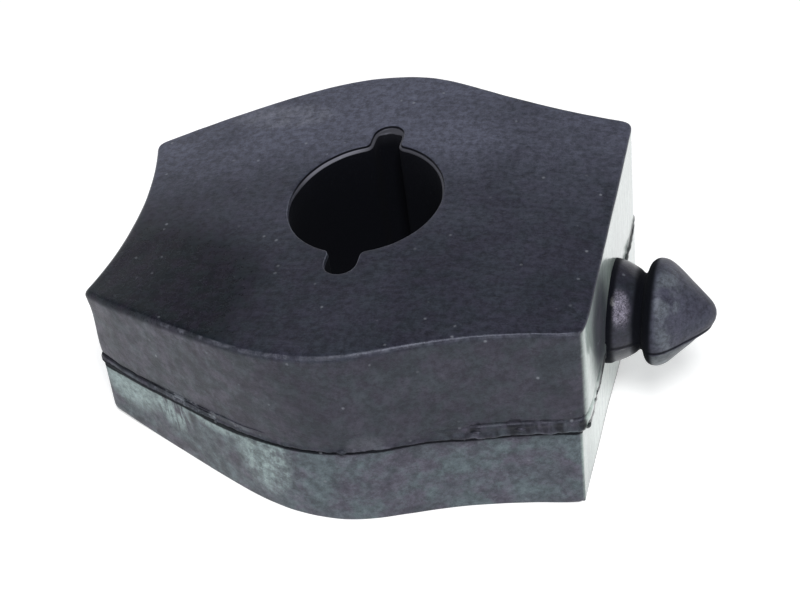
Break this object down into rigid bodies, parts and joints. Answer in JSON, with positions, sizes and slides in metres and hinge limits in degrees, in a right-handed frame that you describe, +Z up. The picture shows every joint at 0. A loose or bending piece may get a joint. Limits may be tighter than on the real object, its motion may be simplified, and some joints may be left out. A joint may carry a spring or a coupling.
{
  "type": "differential mount",
  "caption": "Wedge-shaped moulded rubber mount block with a notched through bore, side lobes, a hollow end and a snap-in plug.",
  "frame": {"origin": "middle of the overall box, on the level floor face that the block lies on", "axes": "+X towards the snap-in plug along the block's length, +Y across the lobes, +Z up from the floor face to the arched roof face"},
  "size_m": [0.0942, 0.0682, 0.0362],
  "materials": {
    "rubber": "matt moulded black rubber"
  },
  "bodies": {
    "root": {"rubber_mount": "rubber"}
  },
  "joints": []
}
